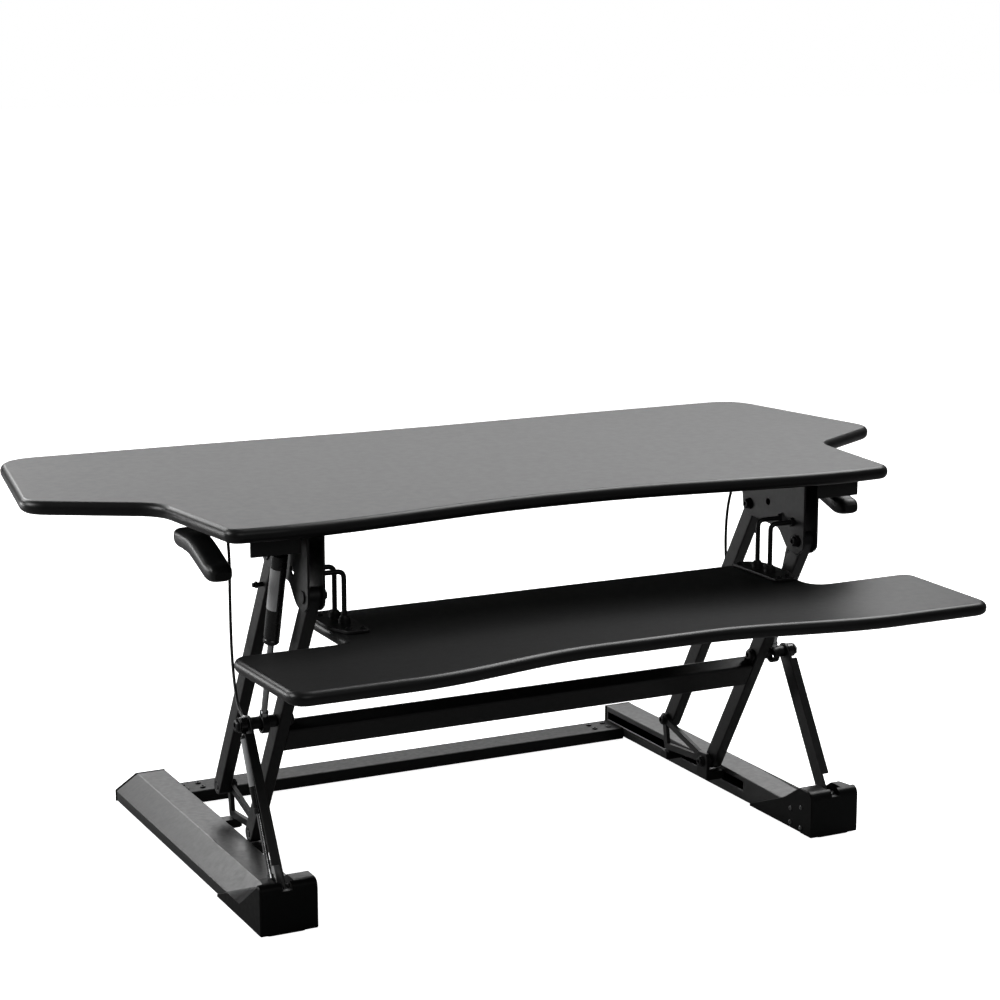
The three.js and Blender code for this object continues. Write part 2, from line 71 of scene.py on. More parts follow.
def reach(node, axis=0):
    """Lowest and highest coordinate of a node along one axis."""
    low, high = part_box(node)
    return low[axis], high[axis]


BASE = pivot("lift")
MIDDLE = pivot("middle_pivot")
FRONT_TOP = pivot("platform_pivot")
FRONT_LOW = pivot("carriage_right_pivot")
REAR_TOP = pivot("rear_arm_right_pivot")
REAR_LOW = FRONT_LOW + REAR_TOP - FRONT_TOP
SPRING_TOP = pivot("upper_spring_right_pivot")
SPRING_FOOT = BASE + Vector((0.018, 0.003))
LEVER = pivot("release_lever_right_pivot")

SHEET = 0.003  # thickness of the folded steel
PIN = 0.005  # radius of the pivot pins
GAP = 0.0003  # play between pieces that meet
EYE_HALF = 0.0045  # half a spring eye's thickness
EYE_ROOM = 0.005  # half the room that an eye has on its stud
ARM_RADIUS = 0.0115
SPACER_RADIUS = 0.008
SOFT_EDGE = 0.0006  # rounding of a thin plate's edges

LONG_X = reach("front_arm_right")
ARM_X = reach("lower_arm_right")  # plate and flange together
SHORT_X = (ARM_X[0], ARM_X[0] + SHEET)
CHEEK_LOW = reach("top_bracket_right")[0]
CHEEK_HIGH = CHEEK_LOW + 0.0232
CHEEKS = ((CHEEK_LOW, CHEEK_LOW + SHEET), (CHEEK_HIGH - SHEET, CHEEK_HIGH))
BOARD_Z = reach("desktop", 2)
TRAY_Z = reach("keyboard_tray", 2)
CAP_X = reach("front_cap_right")
UPPER_X = sum(reach("upper_spring_rod_right")) / 2
LOWER_X = sum(reach("lower_spring_rod_right")) / 2


# ---- materials ----
NOISE_LOW, NOISE_HIGH = 0.3, 0.7  # where nearly all of a noise's values lie
TINT = 0.02  # how far the lighter greys lean to blue


class Nodes:
    """A material's node tree, with short ways to add and join nodes."""

    def __init__(self, name):
        self.material = bpy.data.materials.new(name)
        self.material.use_nodes = True
        self.tree = self.material.node_tree
        self.shader = self.tree.nodes["Principled BSDF"]
        self.place = self.tree.nodes.new("ShaderNodeTexCoord").outputs["Object"]

    def link(self, source, target):
        self.tree.links.new(source, target)

    def stretched(self, scale):
        mapping = self.tree.nodes.new("ShaderNodeMapping")
        mapping.inputs["Scale"].default_value = scale
        self.link(self.place, mapping.inputs["Vector"])
        return mapping.outputs["Vector"]

    def noise(self, scale, detail=4, vector=None):
        node = self.tree.nodes.new("ShaderNodeTexNoise")
        node.inputs["Scale"].default_value = scale
        node.inputs["Detail"].default_value = detail
        self.link(vector or self.place, node.inputs["Vector"])
        return node.outputs["Fac"]

    def spread(self, value, low, high):
        """A noise stretched to run from low to high."""
        node = self.tree.nodes.new("ShaderNodeMapRange")
        node.inputs["From Min"].default_value = NOISE_LOW
        node.inputs["From Max"].default_value = NOISE_HIGH
        node.inputs["To Min"].default_value = low
        node.inputs["To Max"].default_value = high
        self.link(value, node.inputs["Value"])
        return node.outputs["Result"]

    def colours(self, value, dark, light):
        node = self.tree.nodes.new("ShaderNodeMix")
        node.data_type = "RGBA"
        node.inputs[6].default_value = (*dark, 1)
        node.inputs[7].default_value = (*light, 1)
        self.link(value, node.inputs[0])
        return node.outputs[2]

    def bump(self, height, strength, distance, under=None):
        node = self.tree.nodes.new("ShaderNodeBump")
        node.inputs["Strength"].default_value = strength
        node.inputs["Distance"].default_value = distance
        self.link(height, node.inputs["Height"])
        if under is not None:
            self.link(under, node.inputs["Normal"])
        return node.outputs["Normal"]

    def set(self, **values):
        for name, value in values.items():
            self.shader.inputs[name.replace("_", " ")].default_value = value


def grey(value, tint=0.0):
    """A grey, slightly blue where the tint is above 0."""
    return (value * (1 - tint), value, value * (1 + tint))


def coated(name, shade, roughness, grain, depth, specular=0.4, metallic=0.0, coat=0.0):
    """Paint or moulded plastic: a fine relief, cloudy roughness and a faint drift of the colour."""
    n = Nodes(name)
    cloud = n.noise(9, 5)
    relief = n.noise(grain, 3)
    tone = n.colours(n.spread(cloud, 0, 1), grey(shade * 0.8), grey(shade * 1.25, TINT))
    n.link(tone, n.shader.inputs["Base Color"])
    rough = n.spread(n.noise(140, 6), roughness - 0.05, roughness + 0.06)
    n.link(rough, n.shader.inputs["Roughness"])
    n.link(n.bump(relief, 0.35, depth), n.shader.inputs["Normal"])
    n.set(Specular_IOR_Level=specular, Metallic=metallic)
    n.set(Coat_Weight=coat, Coat_Roughness=0.25)
    return n.material


def laminate(name, roughness, specular, depth):
    """Black laminate: a faint streaky grain along X over a fine pebble."""
    n = Nodes(name)
    streaks = n.noise(24, 6, n.stretched((1.2, 14, 14)))
    pebble = n.noise(1100, 2)
    tone = n.colours(n.spread(streaks, 0, 1), grey(0.009), grey(0.0135, TINT))
    n.link(tone, n.shader.inputs["Base Color"])
    rough = n.spread(n.noise(90, 4), roughness - 0.015, roughness + 0.015)
    n.link(rough, n.shader.inputs["Roughness"])
    grain = n.bump(streaks, 0.12, depth)
    n.link(n.bump(pebble, 0.4, depth, grain), n.shader.inputs["Normal"])
    n.set(Specular_IOR_Level=specular)
    return n.material


def metal(name, shade, roughness, scratch):
    """Bare or plated steel with turning marks and a slightly dulled skin."""
    n = Nodes(name)
    marks = n.noise(60, 4, n.stretched((30, 2, 2)))
    dull = n.noise(40, 5)
    tone = n.colours(n.spread(dull, 0, 1), grey(shade * 0.72), grey(shade, TINT))
    n.link(tone, n.shader.inputs["Base Color"])
    n.link(n.spread(marks, roughness - 0.06, roughness + 0.1), n.shader.inputs["Roughness"])
    n.link(n.bump(marks, scratch, 0.0002), n.shader.inputs["Normal"])
    n.set(Metallic=1.0)
    return n.material


LAMINATE = laminate("laminate_face", 0.44, 0.3, 0.00006)
ROLLED = laminate("laminate_rolled_edge", 0.36, 0.4, 0.00003)
STEEL = coated("powder_coat", 0.0105, 0.4, 900, 0.00012, specular=0.5)
# The frame's powder coat made lighter and shinier for the feet: a painted sheen on the foot tops.
FOOT_STEEL_PAINTED_SHEEN = coated("foot_powder_coat_painted_sheen", 0.016, 0.38, 900, 0.00012, specular=0.75)
# The frame's powder coat made darker and duller for the crossbar: painted shade on the crossbar.
CROSSBAR_STEEL_PAINTED_SHADE = coated("crossbar_powder_coat_painted_shade", 0.0095, 0.42, 900, 0.00012, specular=0.25)
# The moulded plastic made darker and duller for the front and rear caps: painted shade on the caps.
CAP_PLASTIC_PAINTED_SHADE = coated("cap_plastic_painted_shade", 0.005, 0.36, 1500, 0.00006, specular=0.2)
PLASTIC = coated("moulded_plastic", 0.008, 0.34, 1500, 0.00006, specular=0.4)
RUBBER = coated("rubber", 0.012, 0.82, 500, 0.0002, specular=0.3)
PAINT = coated("cylinder_paint", 0.009, 0.24, 300, 0.00002, specular=0.5, coat=0.3)
JACKET = coated("cable_jacket", 0.011, 0.46, 700, 0.00008)
ZINC = metal("zinc_plate", 0.3, 0.38, 0.2)
BLACK_BOLT = coated("black_oxide", 0.016, 0.33, 500, 0.00005, specular=0.6, metallic=0.4)
CHROME = metal("chromed_rod", 0.75, 0.16, 0.05)
LABEL = coated("blank_label", 0.7, 0.42, 250, 0.00002)
BRASS_LABEL = coated("blank_label_warm", 0.45, 0.4, 250, 0.00002)


# ---- outlines ----
def bend(start, corner, end, t):
    """A point of the curve that rounds a corner."""
    return (1 - t) ** 2 * start + 2 * t * (1 - t) * corner + t * t * end


def outline(corners, steps=10):
    """Points of a closed outline; a corner (u, v, radius) is rounded."""
    points = []
    for i, corner in enumerate(corners):
        here = Vector(corner[:2])
        radius = corner[2] if len(corner) > 2 else 0
        if not radius:
            points.append(here)
            continue
        start = here + (Vector(corners[i - 1][:2]) - here).normalized() * radius
        end = here + (Vector(corners[(i + 1) % len(corners)][:2]) - here).normalized() * radius
        points += [bend(start, here, end, k / steps) for k in range(steps + 1)]
    return points


def rectangle(u, v, radius=0):
    """A rectangle's outline, from its two spans."""
    (u0, u1), (v0, v1) = u, v
    return outline([(u0, v0, radius), (u1, v0, radius), (u1, v1, radius), (u0, v1, radius)])


def circle(centre, radius, sides=32):
    turns = [2 * math.pi * k / sides for k in range(sides)]
    return [centre + radius * Vector((math.cos(a), math.sin(a))) for a in turns]


def pin_hole(centre):
    return circle(centre, PIN + 0.0004, 28)


def bar(start, end, radius, steps=14):
    """The outline of a flat bar with round ends."""
    along = (end - start).normalized()
    across = Vector((-along.y, along.x))
    half_turn = [math.pi * k / steps for k in range(steps + 1)]
    far = [end + radius * (across * math.cos(a) + along * math.sin(a)) for a in half_turn]
    near = [start + radius * (-across * math.cos(a) - along * math.sin(a)) for a in half_turn]
    return far + near


# ---- meshes ----
YZ = Matrix(((0, 0, 1, 0), (1, 0, 0, 0), (0, 1, 0, 0), (0, 0, 0, 1)))
XY = Matrix.Identity(4)
WELD = 1e-6  # points closer than this are one
CHAMFER = 0.0005  # of a turned shaft's steps
FLAT_ANGLE = math.radians(0.6)
CREASE_ANGLE = math.radians(34)
SMOOTH_ANGLE = math.radians(35)


def evaluated_mesh(obj):
    """The finished mesh of an object, which is then removed."""
    depsgraph = bpy.context.evaluated_depsgraph_get()
    mesh = bpy.data.meshes.new_from_object(obj.evaluated_get(depsgraph))
    bpy.data.objects.remove(obj)
    return mesh


def welded(mesh):
    bm = bmesh.new()
    bm.from_mesh(mesh)
    bmesh.ops.remove_doubles(bm, verts=bm.verts, dist=WELD)
    bmesh.ops.recalc_face_normals(bm, faces=bm.faces)
    bm.to_mesh(mesh)
    bm.free()
    return mesh


def slab(loops, span, edge, plane, rounding):
    """A plate between two planes with rolled edges; the loops are its outline and its holes."""
    low, high = span
    curve = bpy.data.curves.new("slab", "CURVE")
    curve.dimensions = "2D"
    curve.fill_mode = "BOTH"
    curve.extrude = (high - low) / 2 - edge
    curve.bevel_depth = edge
    curve.offset = -edge
    curve.bevel_resolution = rounding
    for loop in loops:
        spline = curve.splines.new("POLY")
        spline.points.add(len(loop) - 1)
        spline.points.foreach_set("co", [c for p in loop for c in (p.x, p.y, 0, 1)])
        spline.use_cyclic_u = True
    obj = bpy.data.objects.new("slab", curve)
    bpy.context.scene.collection.objects.link(obj)
    bpy.context.view_layer.update()
    mesh = evaluated_mesh(obj)
    mesh.transform(plane @ Matrix.Translation((0, 0, (low + high) / 2)))
    return welded(mesh)


def plate(loops, x, edge, rounding=2):
    return slab(loops, x, edge, YZ, rounding)


def board(loops, z, edge, rounding=2):
    return slab(loops, z, edge, XY, rounding)


def mesh_of(rings):
    """A skin over rings of equal length, closed at its two ends."""
    bm = bmesh.new()
    rows = [[bm.verts.new(p) for p in ring] for ring in rings]
    count = len(rings[0])
    for a, b in zip(rows, rows[1:]):
        for i in range(count):
            bm.faces.new((a[i], a[(i + 1) % count], b[(i + 1) % count], b[i]))
    bm.faces.new(rows[0])
    bm.faces.new(rows[-1])
    bmesh.ops.recalc_face_normals(bm, faces=bm.faces)
    mesh = bpy.data.meshes.new("skin")
    bm.to_mesh(mesh)
    bm.free()
    return mesh


def lathe(origin, direction, profile, sides=32):
    """A turned piece; the profile holds (distance along the axis, radius, corners).

    Corners is 0 or left out where the piece is round.
    """
    axis = Vector(direction).normalized()
    turn = Vector((0, 0, 1)).rotation_difference(axis).to_matrix()
    rings = []
    for distance, radius, *rest in profile:
        corners = rest[0] if rest else 0
        ring = []
        for k in range(sides):
            a = 2 * math.pi * k / sides
            r = radius
            if corners:
                sector = math.pi / corners
                r = radius * math.cos(sector) / math.cos(a % (2 * sector) - sector)
            spoke = Vector((r * math.cos(a), r * math.sin(a), distance))
            ring.append(Vector(origin) + turn @ spoke)
        rings.append(ring)
    return mesh_of(rings)


def turned(point, steps):
    """A shaft along X through the point (y, z): steps are (x0, x1, radius) with chamfered ends."""
    profile = []
    for x0, x1, radius in steps:
        c = min(CHAMFER, (x1 - x0) / 3, radius / 3)
        profile += [(x0, radius - c), (x0 + c, radius), (x1 - c, radius), (x1, radius - c)]
    return lathe((0, *point), (1, 0, 0), profile)


def screw_head(point, direction, radius, height, corners=0):
    """A screw's head with a hexagon socket; with six corners it is a hexagon bolt."""
    socket = radius * 0.5
    profile = [
        (-height * 0.2, radius * 0.98, corners),
        (height * 0.55, radius, corners),
        (height * 0.9, radius * 0.86, corners),
        (height, radius * 0.66, 0),
        (height, socket * 1.12, 6),
        (height * 0.97, socket, 6),
        (height * 0.35, socket * 0.96, 6),
    ]
    return lathe(point, direction, profile, 36)


def tube(route, radius, sides):
    """A round bar along a route."""
    curve = bpy.data.curves.new("tube", "CURVE")
    curve.dimensions = "3D"
    curve.bevel_depth = radius
    curve.bevel_resolution = sides
    curve.use_fill_caps = True
    spline = curve.splines.new("POLY")
    spline.points.add(len(route) - 1)
    spline.points.foreach_set("co", [c for p in route for c in (*p, 1)])
    obj = bpy.data.objects.new("tube", curve)
    bpy.context.scene.collection.objects.link(obj)
    bpy.context.view_layer.update()
    return welded(evaluated_mesh(obj))


def between(a, b, c, d, t):
    """A point of the smooth curve from b to c, where a comes before and d after."""
    square = (2 * a - 5 * b + 4 * c - d) * t**2
    cube = (3 * b - a - 3 * c + d) * t**3
    return 0.5 * (2 * b + (c - a) * t + square + cube)


def catmull(points, steps):
    """A smooth route through the points."""
    ends = [2 * points[0] - points[1], *points, 2 * points[-1] - points[-2]]
    route = []
    for a, b, c, d in zip(ends, ends[1:], ends[2:], ends[3:]):
        route += [between(a, b, c, d, k / steps) for k in range(steps)]
    return [*route, points[-1]]


def combined(*meshes):
    """Several closed meshes as one."""
    bm = bmesh.new()
    for mesh in meshes:
        bm.from_mesh(mesh)
    mesh = bpy.data.meshes.new("combined")
    bm.to_mesh(mesh)
    bm.free()
    return mesh


def refined(node, width):
    """A copy of a CAD node's shape with its sharp edges rounded."""
    bm = bmesh.new()
    bm.from_mesh(frame["nodes"][node].data)
    bmesh.ops.remove_doubles(bm, verts=bm.verts, dist=WELD)
    bmesh.ops.dissolve_limit(bm, angle_limit=FLAT_ANGLE, verts=bm.verts, edges=bm.edges)
    sharp = [e for e in bm.edges if e.is_manifold and e.calc_face_angle(0) > CREASE_ANGLE]
    bmesh.ops.bevel(
        bm, geom=sharp, offset=width, segments=2, profile=0.5, affect="EDGES", clamp_overlap=True
    )
    mesh = bpy.data.meshes.new(node)
    bm.to_mesh(mesh)
    bm.free()
    return mesh


# ---- pieces ----
def piece(name, mesh, material, body, nodes=(), sign=1, ride=True):
    """A finished piece: mirrored for the left, smoothed, painted and riding its body."""
    if sign < 0:
        mesh.transform(Matrix.Scale(-1, 4, (1, 0, 0)))
        mesh.flip_normals()
    mesh.materials.clear()
    mesh.materials.append(material)
    mesh.polygons.foreach_set("use_smooth", [True] * len(mesh.polygons))
    mesh.set_sharp_from_angle(angle=SMOOTH_ANGLE)
    obj = bpy.data.objects.new(name, mesh)
    bpy.context.scene.collection.objects.link(obj)
    if ride:
        normals = obj.modifiers.new("even normals", "WEIGHTED_NORMAL")
        normals.keep_sharp = True
        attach(obj, body)
    if nodes:
        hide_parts(*nodes)
    return obj


# ---- boards ----
def wavy_edge(centre_y, bow_depth, flat, bow, count=28):
    """Half of a front edge whose middle stands back from its bow."""
    rows = []
    for i in range(count + 1):
        t = i / count
        forward = bow_depth * (1 - math.cos(math.pi * t)) / 2
        rows.append((flat + (bow - flat) * t, centre_y - forward))
    return rows


def symmetrical(right, edge):
    """A closed outline from its right half, rear middle first."""
    half = [*right, *reversed(edge)]
    mirrored = [(-c[0], *c[1:]) for c in reversed(half)]
    return outline([*half, *mirrored])


def worktop(name, loops, z, edge):
    mesh = board([loops], z, edge, 7)
    obj = piece(name + "_board", mesh, LAMINATE, "platform", [name])
    obj.data.materials.append(ROLLED)
    flat = 0.97
    for face in obj.data.polygons:
        face.material_index = int(abs(face.normal.z) < flat)


def boards():
    rear = [(0.060, 0.384), (0.300, 0.392)]
    wing = [
        (0.583, 0.395, 0.052), (0.633, 0.092, 0.030),
        (0.487, 0.006, 0.026), (0.465, -0.186, 0.018),
    ]
    front = wavy_edge(-0.155, 0.036, 0.020, 0.400)
    worktop("desktop", symmetrical([*rear, *wing], front), BOARD_Z, 0.0082)
    tray = [
        (0.326, -0.066, 0.016), (0.328, -0.214, 0.022),
        (0.479, -0.212, 0.022), (0.473, -0.398, 0.024),
    ]
    front = wavy_edge(-0.361, 0.037, 0.070, 0.330)
    worktop("keyboard_tray", symmetrical(tray, front), TRAY_Z, 0.0078)


# ---- base ----
CAP_SCREWS = [(-0.151, 0.039), (-0.151, 0.010), (-0.126, 0.031), (-0.126, 0.011)]
REAR_SCREWS_X, REAR_SCREWS_Z = (0.376, 0.412), 0.022
BASE_PIN_X = (0.3725, 0.4175)
BASE_COLLARS_X = (0.3875, 0.4100)


def base(side, sign):
    for node, material, slot, width in (
        ("foot_beam", FOOT_STEEL_PAINTED_SHEEN, "black_steel", 0.0012),
        ("front_cap", CAP_PLASTIC_PAINTED_SHADE, "black_plastic", 0.0014),
        ("rear_cap", CAP_PLASTIC_PAINTED_SHADE, "black_plastic", 0.001),
        ("rubber_foot_front", RUBBER, "rubber", 0.0006),
        ("rubber_foot_rear", RUBBER, "rubber", 0.0006),
    ):
        full = f"{node}_{side}"
        piece(f"{node}_skin_{side}", refined(full, width), material, "base", [full])
    sunk = 0.0002
    x = CAP_X[0] + sunk
    rear = reach("rear_cap_right", 1)[1] - sunk
    heads = [screw_head((x, y, z), (-1, 0, 0), 0.0032, 0.0016) for y, z in CAP_SCREWS]
    heads += [
        screw_head((x, rear, REAR_SCREWS_Z), (0, 1, 0), 0.0036, 0.0018) for x in REAR_SCREWS_X
    ]
    piece(f"foot_screws_{side}", combined(*heads), ZINC, "base", sign=sign)
    collar = 0.0072
    pin = combined(
        turned(BASE, [(*BASE_PIN_X, PIN)]),
        turned(BASE, [(BASE_COLLARS_X[0], SHORT_X[0] - GAP, collar)]),
        turned(BASE, [(SHORT_X[1] + GAP, BASE_COLLARS_X[1], collar)]),
    )
    piece(f"base_pin_detail_{side}", pin, ZINC, "base", [f"base_pin_{side}"], sign)


def crossbar():
    y, z = reach("rear_crossbar", 1), reach("rear_crossbar", 2)
    mesh = plate([rectangle(y, z, 0.003)], reach("rear_crossbar"), 0.0004)
    piece("rear_crossbar_skin", mesh, CROSSBAR_STEEL_PAINTED_SHADE, "base", ["rear_crossbar"])
    inset = 0.015
    heads = [
        screw_head((sign * x, row, z[1]), (0, 0, 1), 0.0042, 0.0022)
        for _, sign in SIDES
        for x in (0.342, 0.318)
        for row in (y[0] + inset, y[1] - inset)
    ]
    piece("rear_crossbar_screws", combined(*heads), BLACK_BOLT, "base")


# ---- arms ----
def arm(name, body, pivots, sign):
    loops = [bar(pivots[0], pivots[-1], ARM_RADIUS), *map(pin_hole, pivots)]
    mesh = plate(loops, LONG_X, 0.0016, 3)
    piece(f"{name}_bar", mesh, STEEL, body, [name], sign)


def lower_arm(side, sign):
    """An angle section: a plate with the pin holes and a flange along its front edge."""
    along = (MIDDLE - BASE).normalized()
    across = Vector((-along.y, along.x))
    start, end = BASE + 0.030 * along, BASE + 0.196 * along
    outer, inner, corner = 0.0109 * across, 0.0081 * across, 0.0008
    flange = outline([
        (*(start + outer), corner), (*(end + outer), corner),
        (*(end + inner), corner), (*(start + inner), corner),
    ], 3)
    mesh = combined(
        plate([bar(BASE, MIDDLE, 0.011), pin_hole(BASE), pin_hole(MIDDLE)], SHORT_X, 0.0007),
        plate([flange], (SHORT_X[0] + GAP, ARM_X[1]), SOFT_EDGE),
    )
    name = f"lower_arm_{side}"
    piece(f"{name}_angle", mesh, STEEL, name, [name], sign)


def arms(side, sign):
    lower_arm(side, sign)
    arm(f"front_arm_{side}", "front_arms", (FRONT_LOW, MIDDLE, FRONT_TOP), sign)
    arm(f"rear_arm_{side}", f"rear_arm_{side}", (REAR_LOW, REAR_TOP), sign)
    stop = REAR_TOP + 0.052 * (REAR_LOW - REAR_TOP).normalized()
    x = LONG_X[1]
    peg = turned(stop, [
        (x - 0.002, x + 0.007, 0.003),
        (x + 0.007, x + 0.010, 0.0044),
        (x + 0.010, x + 0.0135, 0.003),
    ])
    piece(f"rear_arm_peg_{side}", peg, BLACK_BOLT, f"rear_arm_{side}", sign=sign)
    middle_axle(side, sign)


def middle_axle(side, sign):
    inner_x, outer_x = LONG_X[0] - 0.004, LOWER_X + 0.0065
    body = turned(MIDDLE, [
        (inner_x, LONG_X[0] - GAP, 0.009),
        (LONG_X[0] - GAP, LONG_X[1] + GAP, PIN),
        (LONG_X[1] + GAP, UPPER_X - EYE_ROOM, SPACER_RADIUS),
        (UPPER_X - EYE_ROOM, UPPER_X + EYE_ROOM, 0.0045),
        (UPPER_X + EYE_ROOM, SHORT_X[0] - GAP, SPACER_RADIUS),
        (SHORT_X[0] - GAP, LOWER_X + EYE_ROOM, PIN),
        (LOWER_X + EYE_ROOM, outer_x, 0.0095),
    ])
    nut = screw_head((outer_x, *MIDDLE), (1, 0, 0), 0.0085, 0.0042, 6)
    head = screw_head((inner_x, *MIDDLE), (-1, 0, 0), 0.0075, 0.003)
    lug_low = MIDDLE + Vector((0.005, -0.0035))
    section = rectangle(
        (SHORT_X[0] - 0.0038, SHORT_X[0] - GAP), (lug_low.x, lug_low.x + 0.010)
    )
    lug = board([section], (lug_low.y, lug_low.y + 0.008), SOFT_EDGE)
    mesh = combined(body, nut, head, lug)
    piece(f"middle_axle_detail_{side}", mesh, STEEL, "front_arms",
          [f"middle_axle_{side}"], sign)


def cross_tube():
    angle = math.atan2(FRONT_LOW.y - FRONT_TOP.y, FRONT_LOW.x - FRONT_TOP.x)
    along = Vector((math.cos(angle), math.sin(angle)))
    across = Vector((-along.y, along.x))
    centre = MIDDLE + 0.030 * along
    flat = rectangle((-0.019, 0.019), (-0.011, 0.011), 0.004)
    section = [centre + p.x * along + p.y * across for p in flat]
    end = LONG_X[0] - GAP
    mesh = plate([section], (-end, end), 0.0004)
    piece("arm_cross_tube_skin", mesh, STEEL, "front_arms", ["arm_cross_tube"])


# ---- carriage ----
def carriage(side, sign):
    body = f"carriage_{side}"
    for node, material, slot, width in (
        ("carriage", STEEL, "black_steel", 0.0008),
        ("front_glide", PLASTIC, "black_plastic", 0.0008),
        ("rear_glide", PLASTIC, "black_plastic", 0.0008),
    ):
        full = f"{node}_{side}"
        piece(f"{node}_skin_{side}", refined(full, width), material, body, [full])
    for node, point in (("front_arm_foot_pin", FRONT_LOW), ("rear_arm_foot_pin", REAR_LOW)):
        x0, x1 = reach(f"{node}_right")
        washer = x0 + 0.0018
        pin = combined(
            turned(point, [(x0, washer, SPACER_RADIUS), (washer, x1, PIN)]),
            screw_head((x0, *point), (-1, 0, 0), 0.0068, 0.0035, 6),
        )
        piece(f"{node}_detail_{side}", pin, BLACK_BOLT, body, [f"{node}_{side}"], sign)


# ---- gas springs ----
# Distances run along the axis from the top; an eye is its hole's and its rim's radius.
SPRINGS = {
    "upper": dict(
        x=UPPER_X, top=SPRING_TOP, run=MIDDLE - SPRING_TOP, radius=0.010, eye=(0.0043, 0.0085),
        barrel=(0.016, 0.140), rod_tip=0.118, rod=0.004, rod_eye=(0.0084, 0.0116),
        shift=(-0.0012, 0.00285), label=(0.035, 0.091), label_finish=LABEL,
    ),
    "lower": dict(
        x=LOWER_X, top=MIDDLE, run=SPRING_FOOT - MIDDLE, radius=0.0057, eye=(0.0054, 0.0096),
        barrel=(0.014, 0.112), rod_tip=0.092, rod=0.003, rod_eye=(0.005, 0.0078),
        shift=(0.001, -0.0005), label=(0.018, 0.078), label_finish=BRASS_LABEL,
    ),
}


def gas_springs(side, sign):
    for which, sizes in SPRINGS.items():
        gas_spring(which, side, sign, **sizes)


def gas_spring(
    which, side, sign,
    x, top, run, radius, eye, barrel, rod_tip, rod, rod_eye, shift, label, label_finish,
):
    """A cylinder with its eye and label, and a rod with its wider eye."""
    axis = run.normalized()
    across = Vector((axis.y, -axis.x))
    origin, direction = (x, *top), (0, *axis)
    start, end = barrel
    groove = radius - 0.0006
    cylinder = combined(
        lathe(origin, direction, [
            (eye[1] - 0.002, radius * 0.45), (start - 0.002, radius * 0.5),
            (start, radius - 0.0018), (start + 0.0016, radius),
            (end - 0.009, radius), (end - 0.0082, groove),
            (end - 0.0068, groove), (end - 0.006, radius),
            (end - 0.0016, radius), (end, radius - 0.0014),
            (end, rod + 0.0006), (end - 0.004, rod + 0.0004),
        ], 40),
        spring_eye(x, top, eye, 32),
    )
    body = f"{which}_cylinder_{side}"
    piece(f"{which}_cylinder_detail_{side}", cylinder, PAINT, body,
          [f"{which}_spring_cylinder_{side}"], sign)
    sticker = sleeve(origin, axis, radius, label)
    piece(f"{which}_spring_label_{side}", sticker, label_finish, body, sign=sign)
    length = run.length
    collar, collar_start = rod + 0.0016, length - rod_eye[1] - 0.004
    shaft = lathe(origin, direction, [
        (rod_tip, rod - 0.0006), (rod_tip + 0.0008, rod), (collar_start, rod),
        (collar_start, collar), (length - rod_eye[0] - 0.0012, collar),
    ], 32)
    body = f"{which}_rod_{side}"
    piece(f"{which}_rod_shaft_{side}", shaft, CHROME, body,
          [f"{which}_spring_rod_{side}"], sign)
    eye_centre = top + run - shift[0] * axis + shift[1] * across
    eye_mesh = spring_eye(x, eye_centre, rod_eye, 40)
    piece(f"{which}_rod_eye_{side}", eye_mesh, BLACK_BOLT, body, sign=sign)


def spring_eye(x, centre, eye, sides):
    hole, rim = eye
    loops = [circle(centre, rim, sides), circle(centre, hole, sides)]
    return plate(loops, (x - EYE_HALF, x + EYE_HALF), 0.0008)


def sleeve(origin, axis, radius, span):
    """A thin blank label wrapped over the outer half of a barrel."""
    outward = Vector((1, 0, 0))
    along = Vector((0, *axis))
    other = along.cross(outward)
    inside, outside = radius - 0.0002, radius + 0.0001
    corners = ((span[0], inside), (span[1], inside), (span[1], outside), (span[0], outside))
    start, end, steps = -100, 80, 24
    rings = []
    for k in range(steps + 1):
        a = math.radians(start + (end - start) * k / steps)
        ray = math.cos(a) * outward + math.sin(a) * other
        rings.append([Vector(origin) + along * d + ray * r for d, r in corners])
    return mesh_of(rings)


# ---- platform ironwork ----
def bracket(side, sign):
    under = BOARD_Z[0] - GAP
    cheek = outline([
        (-0.168, under, 0.002), (-0.014, under, 0.002), (-0.016, 0.464, 0.006),
        (-0.021, 0.430, 0.009), (-0.036, 0.426, 0.004), (-0.108, 0.421, 0.006),
        (-0.130, 0.396, 0.008), (-0.154, 0.392, 0.006), (-0.168, 0.402, 0.006),
    ], 5)
    holes = [pin_hole(FRONT_TOP), pin_hole(REAR_TOP)]
    windows = [
        circle(Vector((-0.118, 0.437)), 0.006, 24),
        circle(Vector((-0.082, 0.452)), 0.0045, 24),
    ]
    plates = [plate([cheek, *holes, *windows], x, 0.0007) for x in CHEEKS]
    section = rectangle((CHEEK_LOW + 0.001, CHEEK_HIGH - 0.001), (-0.166, -0.016))
    web = board([section], (under - SHEET, under), SOFT_EDGE)
    outer, inner = CHEEK_LOW - 0.012, CHEEK_LOW + 0.002
    section = outline([
        (outer, -0.160, 0.003), (inner, -0.160), (inner, -0.020), (outer, -0.020, 0.003),
    ])
    lip = board([section], (under - 0.0022, under), SOFT_EDGE)
    stud = turned(SPRING_TOP, [
        (CHEEK_HIGH - 0.001, UPPER_X - EYE_ROOM, 0.007),
        (UPPER_X - EYE_ROOM, UPPER_X + EYE_ROOM, 0.004),
        (UPPER_X + EYE_ROOM, UPPER_X + 0.0075, 0.007),
    ])
    mesh = combined(*plates, web, lip, stud)
    piece(f"top_bracket_plates_{side}", mesh, STEEL, "platform",
          [f"top_bracket_{side}"], sign)
    for node, point in (("front_arm_top_pin", FRONT_TOP), ("rear_arm_top_pin", REAR_TOP)):
        piece(f"{node}_detail_{side}", top_pin(point), BLACK_BOLT, "platform",
              [f"{node}_{side}"], sign)


